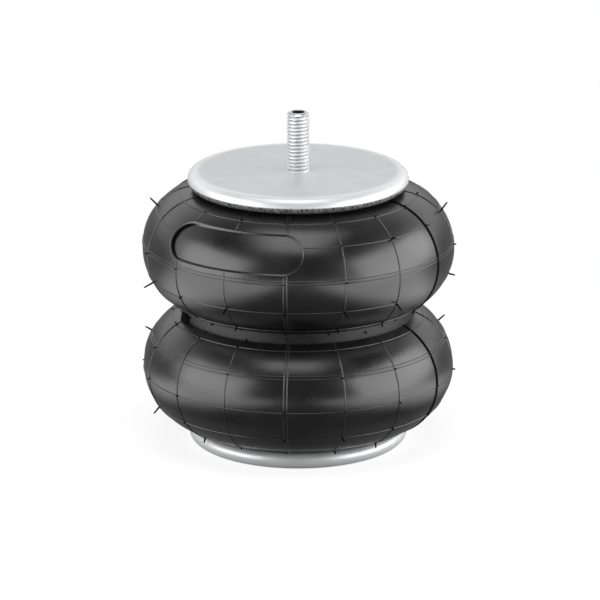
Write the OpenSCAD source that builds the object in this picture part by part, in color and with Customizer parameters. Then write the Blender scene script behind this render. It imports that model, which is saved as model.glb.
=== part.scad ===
// Double convoluted air spring with crimped bead plates.
// The lower plate rests on z = 0 and the common axis is Z. All sizes are in millimetres.

/* [Overall] */
// Height over both bead plates, unloaded and without air
height = 200; // [184:1:220]
// Outer diameter of the two bellies
belly_d = 224; // [216:1:232]

/* [Bead plates] */
// Outer diameter of a bead plate over its rolled rim
plate_d = 158.5; // [154:0.5:166]
// Height of the rolled rim
rim_h = 11.5; // [10.5:0.1:13]
// Thickness of the steel sheet
sheet_t = 2.5; // [2:0.1:3]
// Distance from the rim's outer edge in to the outside of the bellows neck
rim_depth = 9; // [8.5:0.1:11]
// Gap between the crimp lip and the bellows neck
lip_gap = 0.8; // [0.4:0.1:1.2]

/* [Bellows wall] */
// Thickness of the outer rubber
cover_t = 1.8; // [1.4:0.1:2.2]
// Thickness of one fabric ply
ply_t = 0.8; // [0.6:0.1:1]
// Thickness of the airtight inner rubber
liner_t = 1.2; // [0.8:0.1:1.6]
// Bond line between two layers
bond = 0.05; // [0.03:0.01:0.08]
// Bend radius of the neck's outside over the crimp lip
neck_bend = 2.5; // [2:0.1:3.2]
// Gap between the rim and the belly beside it
rim_gap = 1.5; // [1.2:0.1:3]
// Gap between the two bellies at their section centres
belly_gap = 2; // [1:0.1:2.8]

/* [Girdle] */
// Diameter of the steel girdle hoop's wire
hoop_wire_d = 5; // [4.6:0.1:5.6]
// Rubber between the hoop and the plies that bend round it
hoop_skin = 0.95; // [0.75:0.05:1.3]
// Rubber from the hoop out to the face of the waist band
band_skin = 5.5; // [4:0.1:7]

/* [Beads] */
// Diameter of the steel bead wire
bead_wire_d = 3.6; // [3:0.1:4]

/* [Stud] */
// Diameter of the stud over its thread crests
stud_d = 16; // [14:0.5:18]
// Height of the stud above the upper plate
stud_h = 43; // [35:1:50]
// Chamfer at the stud's end
stud_chamfer = 1.4; // [1:0.1:1.8]
// Step from the thread out to the shoulder that fills the plate's hole
shoulder_step = 0.5; // [0.3:0.1:1.5]
// Diameter of the stud's flange inside the bellows
stud_flange_d = 28; // [26:1:32]
// Thickness of the stud's flange
stud_flange_t = 4; // [3:0.5:5]
// Diameter of the threaded air port in the stud's end
port_d = 8.8; // [8:0.1:9.2]
// Depth of the air port's thread
port_depth = 12; // [10:1:15]
// Chamfer at the mouth of the air port
port_chamfer = 0.6; // [0.4:0.1:0.8]
// Diameter of the air passage below the port
passage_d = 6; // [5:0.5:7]

/* [Blind nuts] */
// Distance between the two blind nuts of the lower plate
nut_spacing = 89; // [88:0.5:96]
// Diameter of a blind nut's thread hole
nut_hole_d = 8.5; // [8:0.1:9]
// Depth of the thread hole
nut_hole_depth = 14; // [12:1:16]
// Chamfer at the mouth of the thread hole
nut_chamfer = 0.5; // [0.3:0.1:0.8]
// Outer diameter of a blind nut
nut_d = 17; // [15:0.5:19]
// Closed end above the thread hole
nut_cap_t = 4; // [3:0.5:5]
// Diameter of a blind nut's weld flange
nut_flange_d = 22; // [21:0.5:23]
// Thickness of a blind nut's weld flange
nut_flange_t = 2.5; // [2:0.5:3]
// Diameter of a blind nut's spigot in the lower plate
spigot_d = 14; // [12:0.5:14.5]
// Leg of the fillet welds
weld_leg = 2; // [1.5:0.1:2.2]

/* [Bumper] */
// Height of the rubber bumper, without its base disc
bumper_h = 88; // [70:1:88]
// Diameter of the bumper's lower lobe
bumper_d = 60; // [54:1:61]
// Diameter of the bumper's upper lobe
bumper_top_d = 48; // [44:1:52]
// Diameter of the groove between the two lobes
groove_d = 40; // [36:1:42]
// Diameter of the steel disc bonded under the bumper
base_disc_d = 52; // [50:1:56]
// Thickness of the steel disc bonded under the bumper
base_disc_t = 2; // [1.5:0.5:3]
// Diameter of the welded stud that holds the bumper
bumper_stud_d = 10; // [8:1:12]
// Length of that stud past its nut
stud_end = 2.5; // [1.5:0.5:4]
// Depth of the bumper's rubber under the washer
bumper_seat = 14; // [10:1:18]
// Diameter of the washer
washer_d = 24; // [22:1:25]
// Thickness of the washer
washer_t = 2; // [1.5:0.5:3]
// Height of the nut
hex_h = 8; // [6:0.5:10]
// Size of the nut across its flats
hex_af = 17; // [16:1:19]
// Gap round the washer in the bumper's core
core_gap = 1; // [0.5:0.1:1.5]

/* [Fit] */
// Radial gap round a spigot, stud or wire in its hole
fit_gap = 0.05; // [0.03:0.01:0.1]

/* [Hidden] */
$fn = 96;

zinc = "#d6d7d4";
bare_steel = "#9a9da0";
weld_grey = "#7d7a76";
black_rubber = "#26272a";
cord_fabric = "#57534b";
wire_bronze = "#a08560";

// Rolled rim of a bead plate and the cavity in it
roll_r = rim_h / 2;
roll_centre_r = plate_d / 2 - roll_r;
cavity_r = roll_r - sheet_t;
lip_z = rim_h - sheet_t;
neck_r = plate_d / 2 - rim_depth;
lip_r = neck_r + lip_gap;

// Depth of each layer below the outside of the bellows
ply_depth = cover_t + bond;
inner_ply_depth = ply_depth + ply_t + bond;
liner_depth = inner_ply_depth + ply_t + bond;
wall_t = liner_depth + liner_t;

// Section of the lower belly, as radius and height
waist_z = height / 2;
belly_r = (waist_z - belly_gap / 2 - rim_h - rim_gap) / 2;
belly_z = rim_h + rim_gap + belly_r;
belly_centre_r = belly_d / 2 - belly_r;
belly_steps = 34;
bend_steps = 9;

// Neck bend, which the belly's outside runs into without a corner
neck_centre_r = neck_r + neck_bend;
neck_z = belly_z - sqrt(pow(belly_r + neck_bend, 2) - pow(neck_centre_r - belly_centre_r, 2));
neck_angle = atan2(neck_z - belly_z, neck_centre_r - belly_centre_r);

// Girdle hoop, nested where the plies of both bellies meet
wrap_r = hoop_wire_d / 2 + hoop_skin;
hoop_distance = belly_r - cover_t + wrap_r;
hoop_r = belly_centre_r + sqrt(pow(hoop_distance, 2) - pow(waist_z - belly_z, 2));
waist_angle = atan2(waist_z - belly_z, hoop_r - belly_centre_r);
band_r = hoop_r + hoop_wire_d / 2 + band_skin;
band_angle = acos((band_r - belly_centre_r) / belly_r);
bond_angle = asin(bond / belly_r);

// Bumper stack, from the plate up
bumper_z = sheet_t + base_disc_t;
washer_z = bumper_z + bumper_seat;
hex_z = washer_z + washer_t;
bumper_stud_top = hex_z + hex_h + stud_end;
groove_share = 0.58;
lobe_steps = 16;

// Points on an arc about the centre c, both ends included
function arc(c, r, from, to, steps) =
    [for (i = [0 : steps]) let (a = from + (to - from) * i / steps) c + r * [cos(a), sin(a)]];

// The list v in reverse order
function reversed(v) = [for (i = [len(v) - 1 : -1 : 0]) v[i]];

// The surface at depth d in the lower bellows wall: up the neck and round its bend
function neck_face(d) = concat(
    [[neck_r - d, lip_z]],
    arc([neck_centre_r, neck_z], neck_bend + d, 180, neck_angle + 180, bend_steps)
);

// The same surface round the belly, from the neck bend to the angle given
function belly_face(d, to) =
    arc([belly_centre_r, belly_z], belly_r - d, neck_angle, to, belly_steps);

// The same surface round the girdle hoop, down to the waist plane
function waist_face(d) =
    arc([hoop_r, waist_z], wrap_r - cover_t + d, waist_angle - 180, -180, bend_steps);

// A list without its first point, where that point repeats the end of the list before
function rest(v) = [for (i = [1 : len(v) - 1]) v[i]];

// The outline of a lobe, from share t0 to share t1 of its full height
function lobe(z0, z1, r_end, r_mid, t0, t1) = [for (i = [0 : lobe_steps])
    let (t = t0 + (t1 - t0) * i / lobe_steps, s = (t - t0) / (t1 - t0))
    [r_end + (r_mid - r_end) * sqrt(sin(180 * t)), z0 + (z1 - z0) * s]
];

// Turns a piece of the lower end over, to make the matching one of the upper end
module at_top() {
    translate([0, 0, height]) mirror([0, 0, 1]) children();
}

// Places a piece at the blind nut on one side, -1 or 1
module at_nut(side) {
    translate([side * nut_spacing / 2, 0, 0]) children();
}

// A pressed disc whose edge is rolled up and in over the bead
module bead_plate() {
    rotate_extrude() {
        square([roll_centre_r, sheet_t]);
        translate([lip_r, lip_z]) square([roll_centre_r - lip_r, sheet_t]);
        translate([roll_centre_r, roll_r]) intersection() {
            difference() {
                circle(roll_r);
                circle(cavity_r);
            }
            translate([0, -roll_r]) square([roll_r, rim_h]);
        }
    }
}

// The moulded rubber foot of the bellows that the rolled rim clamps
module bead() {
    foot_r = neck_r - wall_t;
    rotate_extrude() difference() {
        union() {
            translate([foot_r, sheet_t]) square([roll_centre_r - foot_r, lip_z - sheet_t]);
            translate([roll_centre_r, roll_r]) circle(cavity_r - fit_gap);
        }
        translate([roll_centre_r, roll_r]) circle(bead_wire_d / 2 + fit_gap);
    }
}

module bead_wire() {
    rotate_extrude() translate([roll_centre_r, roll_r]) circle(bead_wire_d / 2);
}

// One layer of the wall that runs on round the girdle hoop
module wall_layer(depth, thickness) {
    outer = concat(neck_face(depth), rest(belly_face(depth, waist_angle)), rest(waist_face(depth)));
    inner_depth = depth + thickness;
    inner = concat(
        neck_face(inner_depth),
        rest(belly_face(inner_depth, waist_angle)),
        rest(waist_face(inner_depth))
    );
    rotate_extrude() polygon(concat(outer, reversed(inner)));
}

// The outer rubber, which ends where the waist band fills the valley
module cover_layer() {
    end_angle = band_angle - bond_angle;
    outer = concat(neck_face(0), rest(belly_face(0, end_angle)));
    inner = concat(neck_face(cover_t), rest(belly_face(cover_t, end_angle)));
    rotate_extrude() polygon(concat(outer, reversed(inner)));
}

// A fillet weld round a flange of radius r that lies on the plane z
module weld_ring(r, z) {
    rotate_extrude() translate([r + fit_gap, z]) polygon([[0, 0], [weld_leg, 0], [0, weld_leg]]);
}

// A closed nut, with a spigot in the plate and a flange that is welded on inside
module blind_nut() {
    hole_r = nut_hole_d / 2;
    top = nut_hole_depth + nut_cap_t;
    rotate_extrude() polygon([
        [hole_r + nut_chamfer, 0], [spigot_d / 2, 0], [spigot_d / 2, sheet_t],
        [nut_flange_d / 2, sheet_t], [nut_flange_d / 2, sheet_t + nut_flange_t],
        [nut_d / 2, sheet_t + nut_flange_t], [nut_d / 2, top - 1.5], [nut_d / 2 - 1.5, top],
        [0, top], [0, nut_hole_depth], [hole_r, nut_hole_depth], [hole_r, nut_chamfer]
    ]);
}

module lower_bead_plate() {
    color(zinc) difference() {
        bead_plate();
        for (side = [-1, 1]) {
            at_nut(side) translate([0, 0, -1]) cylinder(h = sheet_t + 2, r = spigot_d / 2 + fit_gap);
        }
    }
}

module blind_nut_left() {
    color(bare_steel) at_nut(-1) blind_nut();
}

module blind_nut_right() {
    color(bare_steel) at_nut(1) blind_nut();
}

module nut_welds() {
    color(weld_grey) for (side = [-1, 1]) at_nut(side) weld_ring(nut_flange_d / 2, sheet_t);
}

module bumper_stud() {
    chamfer = bumper_stud_d / 10;
    r = bumper_stud_d / 2;
    color(bare_steel) rotate_extrude() polygon([
        [0, sheet_t], [r, sheet_t], [r, bumper_stud_top - chamfer],
        [r - chamfer, bumper_stud_top], [0, bumper_stud_top]
    ]);
}

module bumper_base_disc() {
    color(bare_steel) translate([0, 0, sheet_t]) difference() {
        cylinder(h = base_disc_t, r = base_disc_d / 2);
        translate([0, 0, -1]) cylinder(h = base_disc_t + 2, r = bumper_stud_d / 2 + fit_gap);
    }
}

// The rubber stop: a wide and a narrow lobe on one stem, with an open core for the nut
module bumper() {
    groove_z = bumper_z + bumper_h * groove_share;
    top = bumper_z + bumper_h;
    core_r = washer_d / 2 + core_gap;
    hole_r = bumper_stud_d / 2 + fit_gap;
    base_share = 0.1;
    wide = lobe(bumper_z, groove_z, groove_d / 2, bumper_d / 2, base_share, 1);
    narrow = lobe(groove_z, top, groove_d / 2, bumper_top_d / 2, 0, 1 - base_share);
    color(black_rubber) rotate_extrude() polygon(concat(
        [[hole_r, bumper_z]], wide, rest(narrow),
        [[core_r, top], [core_r, washer_z], [hole_r, washer_z]]
    ));
}

module bumper_washer() {
    color(bare_steel) translate([0, 0, washer_z]) difference() {
        cylinder(h = washer_t, r = washer_d / 2);
        translate([0, 0, -1]) cylinder(h = washer_t + 2, r = bumper_stud_d / 2 + fit_gap);
    }
}

module bumper_nut() {
    color(bare_steel) translate([0, 0, hex_z]) difference() {
        cylinder(h = hex_h, r = hex_af / 2 / cos(30), $fn = 6);
        translate([0, 0, -1]) cylinder(h = hex_h + 2, r = bumper_stud_d / 2 + fit_gap);
    }
}

module lower_bead() {
    color(black_rubber) bead();
}

module lower_bead_wire() {
    color(wire_bronze) bead_wire();
}

module lower_cover() {
    color(black_rubber) cover_layer();
}

module lower_outer_ply() {
    color(cord_fabric) wall_layer(ply_depth, ply_t);
}

module lower_inner_ply() {
    color(cord_fabric) wall_layer(inner_ply_depth, ply_t);
}

module lower_liner() {
    color(black_rubber) wall_layer(liner_depth, liner_t);
}

// The rubber ring that fills the valley between the bellies, moulded round the hoop
module waist_band() {
    centre = [belly_centre_r, belly_z];
    half = concat(
        [centre + belly_r * [cos(band_angle), sin(band_angle)]],
        arc(centre, belly_r - cover_t, band_angle, waist_angle, bend_steps),
        rest(waist_face(cover_t))
    );
    top_half = [for (p = reversed(half)) [p[0], height - p[1]]];
    color(black_rubber) rotate_extrude() difference() {
        polygon(concat(half, rest(top_half)));
        translate([hoop_r, waist_z]) circle(hoop_wire_d / 2 + fit_gap);
    }
}

module girdle_hoop() {
    color(bare_steel) rotate_extrude() translate([hoop_r, waist_z]) circle(hoop_wire_d / 2);
}

module upper_cover() {
    color(black_rubber) at_top() cover_layer();
}

module upper_outer_ply() {
    color(cord_fabric) at_top() wall_layer(ply_depth, ply_t);
}

module upper_inner_ply() {
    color(cord_fabric) at_top() wall_layer(inner_ply_depth, ply_t);
}

module upper_liner() {
    color(black_rubber) at_top() wall_layer(liner_depth, liner_t);
}

module upper_bead() {
    color(black_rubber) at_top() bead();
}

module upper_bead_wire() {
    color(wire_bronze) at_top() bead_wire();
}

module upper_bead_plate() {
    color(zinc) difference() {
        at_top() bead_plate();
        translate([0, 0, height - sheet_t - 1])
            cylinder(h = sheet_t + 2, r = stud_d / 2 + shoulder_step + fit_gap);
    }
}

// The stud bolts the spring up and lets the air in through its middle
module air_inlet_stud() {
    thread_r = stud_d / 2;
    shoulder_r = thread_r + shoulder_step;
    port_r = port_d / 2;
    passage_r = passage_d / 2;
    under = height - sheet_t;
    top = height + stud_h;
    port_end = top - port_depth;
    color(zinc) rotate_extrude() polygon([
        [passage_r, under - stud_flange_t], [stud_flange_d / 2, under - stud_flange_t],
        [stud_flange_d / 2, under], [shoulder_r, under], [shoulder_r, height],
        [thread_r, height], [thread_r, top - stud_chamfer], [thread_r - stud_chamfer, top],
        [port_r + port_chamfer, top], [port_r, top - port_chamfer],
        [port_r, port_end], [passage_r, port_end - (port_r - passage_r)]
    ]);
}

module stud_weld() {
    color(weld_grey) at_top() weld_ring(stud_flange_d / 2, sheet_t);
}

lower_bead_plate();
blind_nut_left();
blind_nut_right();
nut_welds();
bumper_stud();
bumper_base_disc();
bumper();
bumper_washer();
bumper_nut();
lower_bead();
lower_bead_wire();
lower_cover();
lower_outer_ply();
lower_inner_ply();
lower_liner();
waist_band();
girdle_hoop();
upper_cover();
upper_outer_ply();
upper_inner_ply();
upper_liner();
upper_bead();
upper_bead_wire();
upper_bead_plate();
air_inlet_stud();
stud_weld();
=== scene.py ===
# %% [markdown]
# # A double convoluted air spring
# Two rubber bellies sit between a pair of zinc plated bead plates, with a hollow threaded stud
# on top. The solids come from the imported frame, which is already at its real size and place.
# This notebook dresses them: it gives the rubber its mould lines and vent hairs, the stud its
# thread and every surface its finish.

# %% Load the frame
import math
import random

import bmesh
import bpy
import numpy as np
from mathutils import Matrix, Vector, noise


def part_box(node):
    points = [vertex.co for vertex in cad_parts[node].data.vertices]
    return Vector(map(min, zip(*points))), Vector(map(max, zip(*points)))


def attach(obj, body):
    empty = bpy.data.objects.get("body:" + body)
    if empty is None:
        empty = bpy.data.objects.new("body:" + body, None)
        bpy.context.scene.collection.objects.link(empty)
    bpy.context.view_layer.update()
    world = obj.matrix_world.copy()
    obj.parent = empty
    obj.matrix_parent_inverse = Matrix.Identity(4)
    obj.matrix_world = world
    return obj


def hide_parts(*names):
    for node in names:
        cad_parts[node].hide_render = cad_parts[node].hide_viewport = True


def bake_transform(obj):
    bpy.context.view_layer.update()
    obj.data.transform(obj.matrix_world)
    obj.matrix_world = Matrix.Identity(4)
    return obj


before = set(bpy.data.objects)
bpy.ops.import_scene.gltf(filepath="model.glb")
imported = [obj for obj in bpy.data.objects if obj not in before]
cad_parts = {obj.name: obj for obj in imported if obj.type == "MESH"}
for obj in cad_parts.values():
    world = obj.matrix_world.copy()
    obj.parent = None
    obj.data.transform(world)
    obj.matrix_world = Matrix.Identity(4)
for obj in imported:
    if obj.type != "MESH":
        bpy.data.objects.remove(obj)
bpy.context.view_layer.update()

scene = bpy.context.scene

# %% [markdown]
# ## The sizes that everything follows
# The bellows' section is one chain of tangent arcs: up the neck from the clamped bead, round
# the crimp lip, round the belly and in round the girdle hoop. The arcs are worked out here
# again from the frame's solids, so that each dressed layer lies where its solid does.

# %% Measure the frame
def reach(node, pick=max):
    """The largest distance of a node's surface from the spring's axis, or with min the least."""
    return pick(math.hypot(v.co.x, v.co.y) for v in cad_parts[node].data.vertices)


MM = 0.001
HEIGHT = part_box("upper_bead_plate")[1].z
RIM_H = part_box("lower_bead_plate")[1].z
COVER_T = 1.8 * MM
PLY_T = 0.8 * MM
LINER_T = 1.2 * MM
BOND = 0.05 * MM
NECK_BEND = 2.5 * MM
RIM_GAP = 1.5 * MM
BELLY_GAP = 2 * MM
HOOP_SKIN = 0.95 * MM

FOOT_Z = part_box("lower_cover")[0].z
NECK_R = reach("lower_cover", min) + COVER_T
WAIST_Z = HEIGHT / 2
BELLY_R = (WAIST_Z - BELLY_GAP / 2 - RIM_H - RIM_GAP) / 2
BELLY_Z = RIM_H + RIM_GAP + BELLY_R
BELLY_CENTRE = round(reach("lower_cover"), 4) - BELLY_R
HOOP_WIRE_R = (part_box("girdle_hoop")[1].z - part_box("girdle_hoop")[0].z) / 2
HOOP_R = reach("girdle_hoop") - HOOP_WIRE_R
BAND_R = reach("waist_band")
BAND_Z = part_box("lower_cover")[1].z
ENDS = ("lower", "upper")
print(f"belly radius {BELLY_R / MM:.1f} mm about a ring of {BELLY_CENTRE / MM:.1f} mm")

# %% [markdown]
# ## Camera
# The photograph was taken from a little above with a long lens. Its perspective was worked out
# from the ellipses of the two plates and from the widths of the two bellies: about 3 m away and
# 17 degrees above the horizon. The target point puts the object where the photograph has it.

# %% Place the camera
CAMERA_DISTANCE = 3.0
CAMERA_ELEVATION = math.radians(17.18)
SENSOR = 36.0
FOCAL_PIXELS = 4149
IMAGE_PIXELS = 600
AXIS_PIXEL = (298.2, 310.1)
FIT_Z = 0.095


def place(name, data):
    """A new object in the scene that holds a mesh, lamp or camera."""
    made = bpy.data.objects.new(name, data)
    scene.collection.objects.link(made)
    return made


def add_camera():
    """A camera that sees the axis point at FIT_Z in the pixel AXIS_PIXEL."""
    camera = place("photo_camera", bpy.data.cameras.new("photo_camera"))
    camera.data.sensor_width = SENSOR
    camera.data.lens = FOCAL_PIXELS * SENSOR / IMAGE_PIXELS
    camera.rotation_euler = (math.pi / 2 - CAMERA_ELEVATION, 0, 0)
    metres_per_pixel = CAMERA_DISTANCE / FOCAL_PIXELS
    aside = (IMAGE_PIXELS / 2 - AXIS_PIXEL[0]) * metres_per_pixel
    above = (AXIS_PIXEL[1] - IMAGE_PIXELS / 2) * metres_per_pixel
    offset = camera.rotation_euler.to_matrix() @ Vector((aside, above, CAMERA_DISTANCE))
    camera.location = offset + Vector((0, 0, FIT_Z))
    return camera


scene.camera = add_camera()
print(f"lens {scene.camera.data.lens:.0f} mm at {CAMERA_DISTANCE:.1f} m")

# %% [markdown]
# ## Writing node trees as sums
# Materials and geometry trees both hold a lot of arithmetic. A small class wraps a socket and
# overloads the operators, so that `1 - mask * 0.3` adds its Math nodes by itself. Every other
# kind of node comes from one method, which sets the node's settings first and then feeds its
# sockets by name, identifier or number.

# %% A wrapper for sockets
class Wire:
    """An output socket in a tree, with the arithmetic that adds Math nodes behind it."""

    def __init__(self, graph, socket):
        self.graph = graph
        self.socket = socket

    def __add__(self, other):
        return self.graph.maths("ADD", self, other)

    def __sub__(self, other):
        return self.graph.maths("SUBTRACT", self, other)

    def __rsub__(self, other):
        return self.graph.maths("SUBTRACT", other, self)

    def __mul__(self, other):
        return self.graph.maths("MULTIPLY", self, other)

    __radd__ = __add__
    __rmul__ = __mul__


def find_socket(sockets, key):
    """The socket with that number, identifier or name."""
    if isinstance(key, int):
        return sockets[key]
    titles = [[getattr(s, title) for s in sockets] for title in ("identifier", "name")]
    return sockets[next(row.index(key) for row in titles if key in row)]


# %% A wrapper for trees
class Graph:
    """A node tree under construction."""

    def __init__(self, tree):
        self.tree = tree

    def node(self, kind, settings=None, inputs=None, output=0):
        made = self.tree.nodes.new(kind)
        for key, value in (settings or {}).items():
            setattr(made, key, value)
        for key, value in (inputs or {}).items():
            socket = find_socket(made.inputs, key)
            if isinstance(value, Wire):
                self.tree.links.new(value.socket, socket)
            else:
                socket.default_value = value
        return Wire(self, find_socket(made.outputs, output)) if len(made.outputs) else made

    def maths(self, operation, *values):
        return self.node("ShaderNodeMath", {"operation": operation}, dict(enumerate(values)))

    def axes(self, vector):
        """The x, y and z of a vector and its distance from the z axis."""
        x, y, z = (self.node("ShaderNodeSeparateXYZ", None, {0: vector}, axis) for axis in range(3))
        return x, y, z, self.maths("SQRT", x * x + y * y)

    def spread(self, value, low, high, to_low=0.0, to_high=1.0):
        """Maps low..high onto to_low..to_high and stops at both ends."""
        numbers = (value, low, high, to_low, to_high)
        return self.node("ShaderNodeMapRange", {"clamp": True}, dict(enumerate(numbers)))

    def mix(self, share, first, second):
        """A colour between two colours."""
        settings = {"data_type": "RGBA", "clamp_factor": True}
        inputs = {"Factor_Float": share, "A_Color": first, "B_Color": second}
        return self.node("ShaderNodeMix", settings, inputs, "Result_Color")


# %% [markdown]
# ## Rubber
# The bellows are moulded in a satin black rubber. Up close it has a fine grain from the mould and
# soft cloudy patches where the release agent dried. Colour, roughness and bump change over the
# surface through noise on Object coordinates, and everything that is constant stays on the
# shader's own sockets. The waist band is the same rubber with a dull, scuffed face. The flash on
# the mould lines is thin and shiny, and its paler grey is a painted highlight for the light that
# the ridges catch. Torn or trimmed edges are dull and deep black, and the same dull black stands
# as painted shade in the parting grooves and in a corner of the sunken field.

# %% A wrapper for materials
class Finish(Graph):
    """The node tree of a new material, whose patterns follow its Object coordinates."""

    def __init__(self, name):
        self.material = bpy.data.materials.new(name)
        self.material.use_nodes = True
        self.material.node_tree.nodes.clear()
        super().__init__(self.material.node_tree)
        self.coords = self.node("ShaderNodeTexCoord", output="Object")

    def noise(self, scale, detail=3.0, roughness=0.5, coords=None):
        """Soft noise from 0 to 1, with about `scale` patches to the metre."""
        inputs = {"Scale": scale, "Detail": detail, "Roughness": roughness}
        inputs["Vector"] = coords or self.coords
        return self.node("ShaderNodeTexNoise", None, inputs)

    def mapped(self, coords, **change):
        """Coordinates turned or scaled; a small scale draws a pattern out along its axis."""
        return self.node("ShaderNodeMapping", None, {"Vector": coords, **change})

    def bump(self, height, distance, strength):
        inputs = {"Height": height, "Distance": distance, "Strength": strength}
        return self.node("ShaderNodeBump", None, inputs)

    def close(self, **sockets):
        """Ends in one Principled shader; an underscore in a name stands for a space."""
        inputs = {key.replace("_", " "): value for key, value in sockets.items()}
        shader = self.node("ShaderNodeBsdfPrincipled", None, inputs)
        self.node("ShaderNodeOutputMaterial", None, {"Surface": shader})
        return self.material


def grey(level, tint=0.0):
    """An opaque grey, with a positive tint a little towards blue."""
    return (level * (1 - tint), level, level * (1 + tint), 1.0)


# %% The rubbers
def rubber(name, dark, light, rough, gloss, scuffs=0.0):
    """A satin rubber between two greys; scuffs adds fine pale diagonal strokes."""
    finish = Finish(name)
    clouds = finish.noise(38, 4, 0.55)
    streaks = finish.noise(160, coords=finish.mapped(finish.coords, Scale=(1, 1, 0.2)))
    grain = finish.noise(1600, 2)
    patches = finish.spread(clouds * 0.7 + streaks * 0.3, 0.36, 0.66)
    colour = finish.mix(patches, dark, light)
    relief = grain * 0.6 + streaks * 0.4
    if scuffs:
        turned_coords = finish.mapped(finish.coords, Rotation=(0.6, 0.5, 0.4))
        strokes = finish.noise(1300, 2, coords=finish.mapped(turned_coords, Scale=(0.12, 1, 1)))
        marks = finish.spread(strokes, 0.42, 0.62)
        colour = finish.mix(marks * scuffs, colour, grey(0.2))
        relief = relief + marks * 0.8
    return finish.close(
        Base_Color=colour,
        Roughness=(clouds - 0.5) * 0.2 + (grain - 0.5) * 0.1 + rough,
        Specular_IOR_Level=gloss,
        Normal=finish.bump(relief, 0.05 * MM, 0.5),
    )


bellows_rubber = rubber("bellows_rubber", grey(0.004, 0.02), grey(0.008, 0.01), 0.3, 1.0)
band_rubber = rubber("band_rubber", grey(0.005), grey(0.01), 0.42, 0.45, scuffs=0.06)
# Dull black is the own colour of the hairs, stubs and lump, and painted shade in the parting
# grooves and the field's corner.
dull_rubber = rubber("dull_rubber", grey(0.001), grey(0.002), 0.85, 0.12)
# The flash is paler than the cover as a painted highlight, for the light that the thin ridges
# catch.
flash_rubber = rubber("flash_rubber", grey(0.018), grey(0.028), 0.2, 1.0)
bumper_rubber = rubber("bumper_rubber", grey(0.014), grey(0.02), 0.6, 0.4)
liner_rubber = rubber("liner_rubber", grey(0.02), grey(0.03), 0.5, 0.4)
print("six rubbers")

# %% [markdown]
# ## Metals
# The blind nuts, the bumper's fittings and the welds are bare steel, fully metallic, so what
# they show is mostly the studio round them, and the work is in the roughness and the bump. The
# plates and the stud are zinc plated: bright, faintly mottled, with a grain that softens
# reflections. Their coat is partly dull, so they are only partly metallic.

# %% The metals
GRAIN = 1400


def metal_patterns(finish, mottle, grain_size=GRAIN):
    """A metal's grain, its share between two colours and its change of roughness."""
    patches = finish.noise(mottle, 3, 0.6)
    grain = finish.noise(grain_size, 2, 0.6)
    share = finish.spread(patches * 0.6 + grain * 0.4, 0.36, 0.64)
    return grain, share, (patches - 0.5) * 0.18 + (grain - 0.5) * 0.12


def metal(name, dark, light, rough, mottle, grain_size=GRAIN, depth=0.02):
    """A metal between two colours, with mottled patches and a fine grain."""
    finish = Finish(name)
    grain, share, unevenness = metal_patterns(finish, mottle, grain_size)
    return finish.close(
        Base_Color=finish.mix(share, dark, light),
        Metallic=1.0,
        Roughness=unevenness + rough,
        Normal=finish.bump(grain, depth * MM, 0.6),
    )


bare_steel = metal("bare_steel", grey(0.3, -0.01), grey(0.46, 0.01), 0.4, 150)
weld_bead = metal("weld_bead", (0.16, 0.14, 0.13, 1), (0.36, 0.34, 0.33, 1), 0.42, 420, 900, 0.12)
bronzed_wire = metal("bronzed_wire", (0.36, 0.22, 0.1, 1), (0.5, 0.33, 0.17, 1), 0.35, 200)
print("three metals")

# %% [markdown]
# The plates' zinc changes over them: the flat face is dull, the rolled rim is painted lighter and
# less metallic as a painted highlight for the bright light that it reflects, and the edge turned in
# over the upper belly is painted dark in short strokes, a painted reflection of the black rubber
# below it. The three zones come from the distance to the axis and from the height.

# %% The zinc of the plates
FLAT_ZINC = 0.8
RIM_HIGHLIGHT_GREY = 0.95
ZINC_MOTTLE = 0.04
RIM_STARTS = 70 * MM
RIM_SOFT = 3 * MM
UPPER_EDGE = HEIGHT - 6.6 * MM
EDGE_SOFT = 0.25 * MM


def plate_zinc():
    finish = Finish("zinc_plate")
    z, radius = finish.axes(finish.coords)[2:]
    grain, share, unevenness = metal_patterns(finish, 70)
    strokes = finish.noise(1100, 2, 0.7, finish.mapped(finish.coords, Scale=(1, 1, 0.15)))
    rim = finish.spread(radius, RIM_STARTS, RIM_STARTS + RIM_SOFT)
    upper = finish.spread(z, WAIST_Z - MM, WAIST_Z + MM)
    edge = finish.spread(z, UPPER_EDGE - EDGE_SOFT, UPPER_EDGE + EDGE_SOFT, 1.0, 0.0) * upper * rim
    dark, light = grey(FLAT_ZINC - ZINC_MOTTLE, 0.01), grey(FLAT_ZINC + ZINC_MOTTLE, 0.015)
    flat = finish.mix(share, dark, light)
    # The rim's lighter grey is a painted highlight.
    painted_rim_highlight = finish.mix(share, grey(RIM_HIGHLIGHT_GREY - ZINC_MOTTLE, 0.01), grey(RIM_HIGHLIGHT_GREY, 0.01))
    # The turned-in edge's dark strokes are a painted reflection of the black belly below it.
    painted_dark_reflection = finish.mix(finish.spread(strokes, 0.4, 0.62), grey(0.03), grey(0.42))
    return finish.close(
        Base_Color=finish.mix(edge, finish.mix(rim, flat, painted_rim_highlight), painted_dark_reflection),
        Metallic=0.6 - rim * 0.25,
        Roughness=unevenness + (edge - rim * 0.6) * 0.2 + 0.5,
        Normal=finish.bump(grain * 0.3 + strokes * edge * 2, 0.04 * MM, 0.6),
    )


zinc_plate = plate_zinc()
print(f"plates: flat zinc {FLAT_ZINC}, rim zinc {RIM_HIGHLIGHT_GREY} from {RIM_STARTS / MM:.0f} mm out")

# %% [markdown]
# The stud is bright too, and the roots of its thread and the port inside it are painted dark, as
# painted shade in those hollows. Distance to the axis tells crest, root and port apart.

# %% The zinc of the stud
THREAD_R = 8 * MM
THREAD_DEPTH = 1.25 * MM
PORT_SHADE_R = 4.9 * MM
PORT_SOFT = 0.1 * MM


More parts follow.
